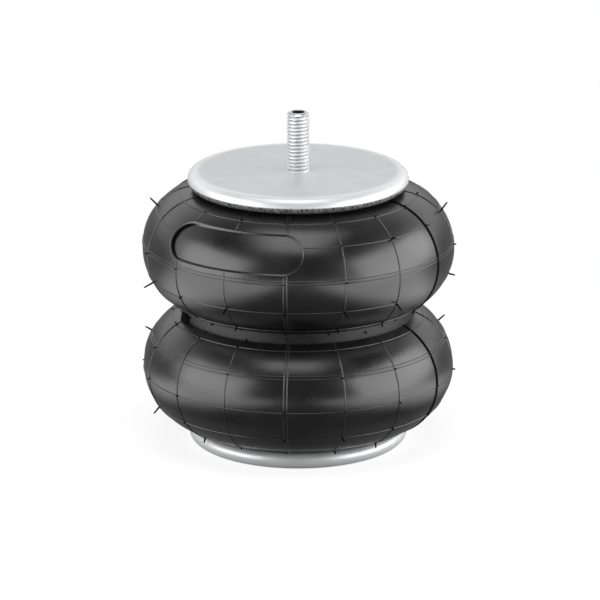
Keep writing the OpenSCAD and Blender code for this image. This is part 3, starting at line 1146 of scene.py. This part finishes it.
def overflow_lump():
    """A rounded, slightly lumpy bead of rubber that squeezed out beside the band."""
    shape = bmesh.new()
    bmesh.ops.create_icosphere(shape, subdivisions=4, radius=1)
    out = Vector((math.sin(LUMP_AZIMUTH), -math.cos(LUMP_AZIMUTH), 0))
    side = Vector((math.cos(LUMP_AZIMUTH), math.sin(LUMP_AZIMUTH), 0))
    middle = out * (BAND_R - LUMP_SUNK) + Vector((0, 0, WAIST_Z - LUMP_DROP))
    spots = []
    for vertex in shape.verts:
        swell = 1 + LUMP_UNEVEN * noise.noise(vertex.co * LUMP_RIPPLES)
        p = vertex.co * swell * Vector(LUMP_SIZE)
        spots.append(middle + out * p.x + side * p.y + Vector((0, 0, p.z)))
    shape.verts.index_update()
    faces = [[vertex.index for vertex in face.verts] for face in shape.faces]
    shape.free()
    return link("overflow_lump", spots, faces, dull_rubber)


for piece in (band_edges, band_stubs, overflow_lump()):
    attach(piece, "girdle")
print(f"band dressed, with {BAND_STUBS} stubs")

# %% [markdown]
# ## The threaded stud
# The stud is a lathe part, so its outline is turned round the axis, and the thread is a wave that
# climbs one pitch with each turn. The rows stand close enough that each thread has a dozen of
# them. The port at the top carries a finer thread on the inside.

# %% Measure the stud
STUD_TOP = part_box("air_inlet_stud")[1].z
STUD_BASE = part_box("air_inlet_stud")[0].z
STUD_CHAMFER = 1.4 * MM
STUD_FLANGE_R = reach("air_inlet_stud")
FLANGE_CHAMFER = 0.3 * MM
SHOULDER_R = THREAD_R + 0.5 * MM
PLATE_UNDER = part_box("stud_weld")[1].z
PASSAGE_R = 3 * MM
PORT_R = 4.4 * MM
PORT_DEPTH = 12 * MM
PORT_CHAMFER = 0.6 * MM
THREAD_STARTS = HEIGHT + 0.6 * MM
THREAD_PITCH = 2.6 * MM
THREAD_ROW = 0.22 * MM
PORT_PITCH = 1.0 * MM
PORT_THREAD = 0.35 * MM
PORT_ROW = 0.13 * MM
STUD_SIDES = 72
SHARP = math.radians(35)


def rows_between(start, stop, gap):
    """Points (radius, z) from start to just before stop, a gap apart."""
    start, stop = np.array(start), np.array(stop)
    count = max(1, round(np.linalg.norm(stop - start) / gap))
    return [start + (stop - start) * k / count for k in range(count)]


def stud_outline():
    """The radius and height of each row, from the passage out, up and down into the port."""
    lip = STUD_TOP - STUD_CHAMFER
    tip_r = THREAD_R - STUD_CHAMFER
    port_end = STUD_TOP - PORT_DEPTH
    return np.array([
        (PASSAGE_R, STUD_BASE), (STUD_FLANGE_R - FLANGE_CHAMFER, STUD_BASE),
        (STUD_FLANGE_R, STUD_BASE + FLANGE_CHAMFER), (STUD_FLANGE_R, PLATE_UNDER),
        (SHOULDER_R, PLATE_UNDER), (SHOULDER_R, HEIGHT),
        *rows_between((THREAD_R, HEIGHT), (THREAD_R, lip), THREAD_ROW),
        *rows_between((THREAD_R, lip), (tip_r, STUD_TOP), THREAD_ROW),
        (tip_r, STUD_TOP), (PORT_R + PORT_CHAMFER, STUD_TOP),
        *rows_between((PORT_R, STUD_TOP - PORT_CHAMFER), (PORT_R, port_end), PORT_ROW),
        (PORT_R, port_end), (PASSAGE_R, port_end - PORT_R + PASSAGE_R),
    ])


# %% Cut the stud's threads
ROOT_ENDS, CREST_STARTS = 0.15, 0.7


def thread_wave(share):
    """0 at the crest and 1 at the root of a thread with straight flanks and flat ends."""
    away = np.abs((share % 1.0) - 0.5) * 2
    return np.clip((CREST_STARTS - away) / (CREST_STARTS - ROOT_ENDS), 0, 1)


def threaded_stud():
    plain_r, height = np.hsplit(stud_outline(), 2)
    angles = np.linspace(0, 2 * math.pi, STUD_SIDES, endpoint=False)
    turn = angles / (2 * math.pi)
    root = THREAD_R - THREAD_DEPTH * thread_wave(height / THREAD_PITCH - turn)
    cut = PORT_R + PORT_THREAD * thread_wave(height / PORT_PITCH - turn)
    on_thread = (plain_r > PORT_R + PORT_CHAMFER) & (height > THREAD_STARTS)
    in_port = np.isclose(plain_r, PORT_R) & (height < STUD_TOP - PORT_CHAMFER)
    radius = np.where(on_thread, np.minimum(plain_r, root), np.where(in_port, cut, plain_r))
    grid = turned(radius, height, angles)
    here = np.arange(radius.size).reshape(radius.shape)
    right = np.roll(here, -1, axis=1)
    faces = quads(here, right, np.roll(right, -1, axis=0), np.roll(here, -1, axis=0))
    piece = link("threaded_stud", grid.reshape(-1, 3), faces.tolist(), zinc_stud)
    piece.data.set_sharp_from_angle(angle=SHARP)
    return piece


stud = threaded_stud()
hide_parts("air_inlet_stud")
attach(stud, "upper_mount")
print(f"thread from {HEIGHT / MM:.0f} to {STUD_TOP / MM:.0f} mm, {len(stud.data.polygons)} faces")

# %% [markdown]
# The bores of the two blind nuts are threaded too. A spiral curve makes that thread: a thin wire
# with four sides is swept along it, just proud of the bore's wall.

# %% Thread the blind nuts
BORE_R = 4.25 * MM
BORE_PITCH = 1.25 * MM
BORE_TURNS = 10
BORE_STARTS = 0.6 * MM
BORE_TOOTH = 0.4 * MM
TURN_POINTS = 40
TOOTH_SIDES = 4


def build_bore_thread_tree():
    graph = GeometryGraph("bore_thread", "radius", "length", "turns", "tooth")
    spiral = graph.node("GeometryNodeCurveSpiral", None, {
        "Resolution": TURN_POINTS, "Rotations": graph.given("turns"),
        "Start Radius": graph.given("radius"), "End Radius": graph.given("radius"),
        "Height": graph.given("length"),
    })
    threads = graph.instances(graph.given("Geometry"), spiral)
    return graph.close(graph.sweep(threads, graph.given("tooth"), TOOTH_SIDES))


nut_x = sum(corner.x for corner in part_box("blind_nut_right")) / 2
thread = grow(
    "nut_threads", build_bore_thread_tree(), [(x, 0, BORE_STARTS) for x in (-nut_x, nut_x)],
    radius=BORE_R, length=BORE_TURNS * BORE_PITCH, turns=float(BORE_TURNS), tooth=BORE_TOOTH,
    material=bare_steel,
)
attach(thread, "lower_mount")

# %% [markdown]
# ## Bake the rubber's placing
# Each pliant piece takes its object's placing into its points.

# %% Bake the placing
for piece, end, part in pliant:
    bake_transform(piece)
print(f"{len(pliant)} pieces blended")

# %% [markdown]
# ## Studio
# The photograph is a product shot on white, with one large soft light at each side and another
# overhead. The sides make the long soft highlights on the bellies. White comes from the world
# and the floor as the camera sees them, so that it adds no light to the rubber. The floor keeps
# the shadow close to the object and is plain white further out, so no edge shows from any side.
#
# Reflections see something else. For them the floor is dark in front and bright at both sides,
# like the table and the two reflectors of a product shot, and the world is white behind the
# object but dim at the front, overhead and low at the back.

# %% World
AMBIENT = 0.25
DARK_SIDE = 0.12
LOW_BACK = 0.3
OVERHEAD = 0.2
TO_BACK = (-0.15, 0.65)
TO_MIDDLE = (0.05, 0.25)
TO_TOP = (0.45, 0.8)


def rays(graph, kind):
    """1 for rays of one kind, such as those from the camera."""
    return graph.node("ShaderNodeLightPath", None, None, f"Is {kind} Ray")


def background_rays(graph):
    """1 for rays that see a backdrop: from the camera, in gloss and through glass."""
    either = graph.maths("MAXIMUM", rays(graph, "Camera"), rays(graph, "Glossy"))
    return graph.maths("MAXIMUM", either, rays(graph, "Transmission"))


def add_world():
    world = bpy.data.worlds.new("studio")
    world.use_nodes = True
    world.node_tree.nodes.clear()
    graph = Graph(world.node_tree)
    _, back, up, _ = graph.axes(graph.node("ShaderNodeTexCoord", output="Generated"))
    backdrop = graph.spread(back, *TO_BACK, DARK_SIDE, 1.0)
    backdrop = backdrop * graph.spread(up, *TO_MIDDLE, LOW_BACK, 1.0)
    backdrop = backdrop * graph.spread(up, *TO_TOP, 1.0, OVERHEAD)
    backdrop = graph.maths("MAXIMUM", rays(graph, "Camera"), backdrop)
    strength = background_rays(graph) * (backdrop - AMBIENT) + AMBIENT
    shade = graph.node("ShaderNodeBackground", None, {"Color": grey(1), "Strength": strength})
    graph.node("ShaderNodeOutputWorld", None, {"Surface": shade})
    return world


scene.world = add_world()
print(f"world: {AMBIENT} as light, 1 for the camera")

# %% Floor
FLOOR_GREY = 0.35
FLOOR_DROP = 0.2 * MM
HALF_FLOOR = 4
SEEN_FLOOR = 0.8
WHITE_STARTS, WHITE_FULL = 0.16, 0.5
MIRRORED_FRONT = 0.12
MIRRORED_SIDES = 2.0
MIRRORED_BACK = 0.25
MIRRORED_FOOT = 0.25
SIDES_START, SIDES_FULL = 0.14, 0.23
FOOT_FADES, FOOT_END = 0.125, 0.145
FOOT_FULL = 0.07
POOLS_END = 0.15


def floor_finish():
    """A grey floor with a white glow for the camera, and pools of light for reflections."""
    graph = Finish("studio_floor")

    def glow(colour, strength=1.0):
        return graph.node("ShaderNodeEmission", None, {"Color": colour, "Strength": strength})

    def either(share, first, second):
        return graph.node("ShaderNodeMixShader", None, {0: share, 1: first, 2: second})

    seen = rays(graph, "Camera")
    across, back, _, away = graph.axes(graph.coords)
    lit = graph.node("ShaderNodeBsdfDiffuse", None, {"Color": grey(FLOOR_GREY)})
    near = graph.node("ShaderNodeAddShader", None, {0: lit, 1: glow(grey(1), seen * SEEN_FLOOR)})
    plain = either(seen * graph.spread(away, WHITE_STARTS, WHITE_FULL), near, glow(grey(1)))
    beside = graph.maths("ABSOLUTE", across)
    at_sides = graph.spread(beside, SIDES_START, SIDES_FULL)
    colour = graph.mix(at_sides, grey(MIRRORED_FRONT), grey(MIRRORED_SIDES))
    at_foot = graph.spread(away, FOOT_FADES, FOOT_END, 1.0, 0.0)
    at_foot = at_foot * graph.spread(beside, 0.0, FOOT_FULL)
    colour = graph.mix(at_foot, colour, grey(MIRRORED_FOOT))
    colour = graph.mix(graph.spread(back, 0.0, POOLS_END), colour, grey(MIRRORED_BACK))
    whole = either(background_rays(graph) - seen, plain, glow(colour))
    graph.node("ShaderNodeOutputMaterial", None, {"Surface": whole})
    return graph.material


corners = np.array([(-1, -1, 0), (1, -1, 0), (1, 1, 0), (-1, 1, 0)]) * HALF_FLOOR
floor = link("floor", corners - (0, 0, FLOOR_DROP), [(0, 1, 2, 3)], floor_finish())
print(f"floor {2 * HALF_FLOOR} m wide, plain white from {WHITE_FULL} m out")

# %% Lamps
AIM = Vector((0, 0, 0.1))


def add_lamp(name, spot, size, power):
    lamp = place(name, bpy.data.lights.new(name, "AREA"))
    lamp.data.shape = "RECTANGLE"
    lamp.data.size, lamp.data.size_y = size
    lamp.data.energy = power
    lamp.location = spot
    lamp.rotation_euler = (AIM - Vector(spot)).to_track_quat("-Z", "Y").to_euler()


add_lamp("right_softbox", (1.3, -0.25, 0.46), (2.0, 1.08), 19)
add_lamp("left_softbox", (-1.25, -0.5, 0.5), (1.5, 0.95), 12)
add_lamp("top_softbox", (-0.05, -0.35, 1.45), (0.9, 1.1), 6.2)
scene.view_settings.view_transform = "Standard"
print("three lamps")
